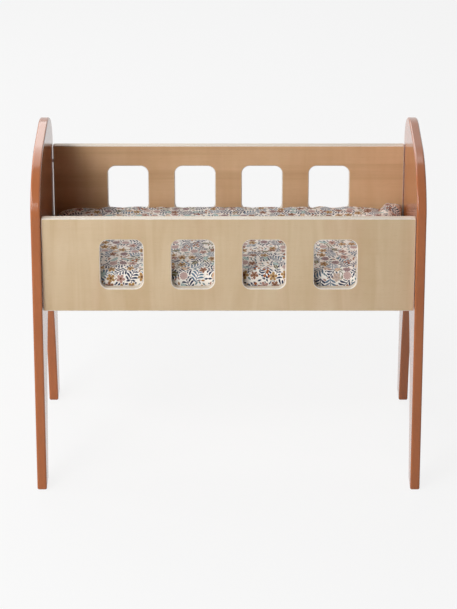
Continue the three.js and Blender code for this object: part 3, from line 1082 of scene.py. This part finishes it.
def stuff_pad(pad, start, flat, seam):
    """Lets the cloth settle round its filling: pressure from inside, no gravity. The seam is held
    firmly and the rest lightly, and no point moves further than SETTLE_REACH."""
    pad.shape_key_add(name="Basis")
    cut = pad.shape_key_add(name="cut")
    cut.data.foreach_set("co", flat.astype(np.float32).ravel())
    cut.value = 0.0
    held = weight_group(pad, "held", HOLD_ALL + HOLD_FRONT * ramp(-start[:, 1], *HOLD_FORWARD))
    held.add(seam, HOLD_SEAM, "REPLACE")
    inwards = np.minimum(PAD_LENGTH / 2 - np.abs(start[:, 0]), PAD_WIDTH / 2 - np.abs(start[:, 1]))
    weight_group(pad, "smooth", SMOOTH_MIDDLE * ramp(inwards, *SMOOTH_INWARDS))
    cloth = pad.modifiers.new("stuffing", "CLOTH")
    for name, value in STUFFING.items():
        setattr(cloth.settings, name, value)
    cloth.settings.effector_weights.gravity = 0.0
    cloth.settings.rest_shape_key = cut
    cloth.settings.vertex_group_shrink = "smooth"
    cloth.settings.vertex_group_mass = "held"
    cloth.collision_settings.use_collision = False
    shift = settled_places(pad) - start
    pad.modifiers.remove(cloth)
    pad.vertex_groups.clear()
    pad.shape_key_clear()
    bpy.context.scene.frame_set(1)
    length = np.linalg.norm(shift, axis=1)[:, None]
    return start + shift * np.minimum(1.0, SETTLE_REACH / np.maximum(length, 1e-9))


def keep_clear(places):
    """Holds the pad's points over its base and between the boards."""
    places[:, 0] = np.clip(places[:, 0], -PAD_CLEAR_X, PAD_CLEAR_X)
    places[:, 1] = np.clip(places[:, 1], -PAD_CLEAR_Y, PAD_CLEAR_Y)
    places[:, 2] = np.maximum(places[:, 2], PAD_FLOOR)
    return places


def mark_seam(data, seam):
    """Marks the seam's points for the stitches, and its edges to stay firm in the finer mesh."""
    on_seam = np.zeros(len(data.vertices), np.float32)
    on_seam[seam] = 1.0
    seam_mark = data.attributes.new("seam", "FLOAT", "POINT")
    seam_mark.data.foreach_set("value", on_seam)
    seam_edges = {tuple(sorted(pair)) for pair in zip(seam, seam[1:] + seam[:1])}
    crease = data.attributes.new("crease_edge", "FLOAT", "EDGE")
    crease.data.foreach_set("value", [
        SEAM_CREASE if tuple(sorted(edge.vertices)) in seam_edges else 0.0 for edge in data.edges])


def stitch_tree(material):
    """A short stitch of thread at even steps along the seam of a mesh, which its attribute marks."""
    tree, cloth, size = geometry_tree("seam_stitches", ["Step", "Stitch", "Thread"])
    on_seam = output(tree, "FunctionNodeCompare", {
        "A": named_value(tree, "seam", "FLOAT"), "B": 0.99}, data_type="FLOAT", operation="GREATER_THAN")
    line = output(tree, "GeometryNodeMeshToCurve", {"Mesh": cloth, "Selection": on_seam})
    steps = output(tree, "GeometryNodeResampleCurve", {
        "Curve": line, "Length": size["Step"]}, mode="LENGTH")
    grain = output(tree, "GeometryNodeMeshUVSphere", {"Segments": 8, "Rings": 6, "Radius": 0.5})
    stitch = moved(tree, grain, Scale=vector_of(tree, size["Thread"], size["Thread"], size["Stitch"]))
    aim = output(tree, "FunctionNodeAlignRotationToVector", {
        "Vector": output(tree, "GeometryNodeInputTangent")}, axis="Z")
    copies = output(tree, "GeometryNodeInstanceOnPoints", {
        "Points": steps, "Instance": stitch, "Rotation": aim})
    end_tree(tree, copies, material)
    return tree


def build_stitches(mattress, material):
    """The thread that shows in the seam. It has no solid of its own, so it replaces none."""
    holder = shown_object("seam", mattress.data.copy())
    piece = run_tree(holder, stitch_tree(material), STITCH, "mattress_seam_thread")
    paint(piece, material)
    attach(piece, "mattress")


def build_mattress(material, thread):
    """The stuffed pad and its stitches."""
    pad, start, flat, seam = sew_pad()
    places = stuff_pad(pad, start, flat, seam)
    pad.data.vertices.foreach_set("co", keep_clear(places).astype(np.float32).ravel())
    mark_seam(pad.data, seam)
    pad.data.polygons.foreach_set("use_smooth", [True] * len(pad.data.polygons))
    finer = pad.modifiers.new("finer", "SUBSURF")
    finer.levels = finer.render_levels = 1
    graph = bpy.context.evaluated_depsgraph_get()
    data = bpy.data.meshes.new_from_object(pad.evaluated_get(graph), depsgraph=graph)
    bpy.data.objects.remove(pad)
    mattress = shown_object("mattress_pad", data)
    finish_piece(mattress, "mattress", ["mattress"], material)
    build_stitches(mattress, thread)


# Studio

def seen_directly(tree):
    """1 for rays from the camera, from a mirror or through glass, and 0 for the rest."""
    path = new_node(tree, "ShaderNodeLightPath")
    camera, glossy, through = (
        Wire(tree, path.outputs[n]) for n in ("Is Camera Ray", "Is Glossy Ray", "Is Transmission Ray"))
    return camera.at_least(glossy).at_least(through)


def floor_paper():
    """Pale paper: the camera and reflections see its paleness, the rest of the light sees a plain
    floor, and the bed's shadow stays on it."""
    material = bpy.data.materials.new("studio_floor")
    material.use_nodes = True
    tree = material.node_tree
    tree.nodes.clear()
    paper = noise(tree, object_place(tree), 3.0, 2.0)
    plain = output(tree, "ShaderNodeBsdfDiffuse", {"Color": blend(tree, paper, "f0f0f0", "eeeeee")})
    glow = output(tree, "ShaderNodeEmission", {"Color": linear("f9f9f9"), "Strength": 1.0})
    mix = output(tree, "ShaderNodeMixShader", {
        0: seen_directly(tree) * FLOOR_GLOW_SHARE, 1: plain, 2: glow})
    new_node(tree, "ShaderNodeOutputMaterial", {"Surface": mix})
    return material


def build_floor():
    mesh = bmesh.new()
    bmesh.ops.create_grid(mesh, x_segments=1, y_segments=1, size=FLOOR_REACH)
    floor = mesh_object("studio_floor", mesh)
    floor.data.materials.append(floor_paper())


def build_backdrop():
    """A pale surround for the eye and for reflections, which hardly lights the bed."""
    world = bpy.data.worlds.new("studio")
    bpy.context.scene.world = world
    world.use_nodes = True
    tree = world.node_tree
    back = tree.nodes["Background"]
    feed(tree, back.inputs["Color"], blend(tree, seen_directly(tree), AMBIENT, "f5f5f5"))
    back.inputs["Strength"].default_value = 1.0


def build_lamp(name, place, side, power):
    data = bpy.data.lights.new(name, "AREA")
    data.shape = "RECTANGLE"
    data.size = data.size_y = side
    data.energy = power
    lamp = shown_object(name, data)
    lamp.location = place
    lamp.rotation_euler = (Vector(LAMP_AIM) - Vector(place)).to_track_quat("-Z", "Y").to_euler()


def build_camera():
    data = bpy.data.cameras.new("camera")
    data.sensor_width = CAMERA_SENSOR
    data.lens = CAMERA_LENS
    data.clip_start = CAMERA_NEAR
    data.clip_end = CAMERA_FAR
    camera = shown_object("camera", data)
    camera.location = CAMERA_PLACE
    camera.rotation_euler = (math.pi / 2 - CAMERA_DIP, 0.0, 0.0)
    bpy.context.scene.camera = camera


# The bed in its studio

build_camera()
build_floor()
build_backdrop()
for lamp in LAMPS:
    build_lamp(*lamp)
bpy.context.scene.view_settings.view_transform = "Standard"

lacquer = terracotta_lacquer()
front_birch = birch_plywood("front_birch_plywood", "d5bf9f", "c4a984", "b59469",
                            figure=0.6, streaks=0.12, varnish=0.12)
back_birch = birch_plywood("back_birch_plywood", "dab791", "cba47c", "b58f68",
                           figure=0.35, streaks=0.7, varnish=0.04)
for side, name in ((-1, "left"), (1, "right")):
    build_end_board(side, name, lacquer)
build_long_board(-1, "front", JOINT_GAP, JOINT_GAP, front_birch)
build_long_board(1, "back", OPEN_JOINT_GAP, JOINT_GAP, back_birch)

# The hidden base and battens show their solids, in woods of their own
pine = planed_pine()
for node, material, slot in (
        ("base_board", bare_plywood(), "base_plywood"),
        ("front_batten", pine, "pine_batten"), ("back_batten", pine, "pine_batten")):
    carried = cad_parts[node]
    paint(carried, material)

zinc = zinc_plate()
screws = screw_tree(zinc)
for side, name in ((-1, "left"), (1, "right")):
    build_screws(f"{name}_end_screws", END_SCREW, end_screw_places(side),
                 [f"{name}_end_screw_{i}" for i in range(1, 5)], screws, zinc)
for side, name in ((-1, "front"), (1, "back")):
    build_screws(f"{name}_batten_screws", BATTEN_SCREW, batten_screw_places(side),
                 [f"{name}_batten_screw_{i}" for i in range(1, 5)], screws, zinc)
build_screws("base_screws", BASE_SCREW, base_screw_places(),
             [f"base_screw_{i}" for i in range(1, 7)], screws, zinc)

build_mattress(printed_cotton(), cotton_thread())
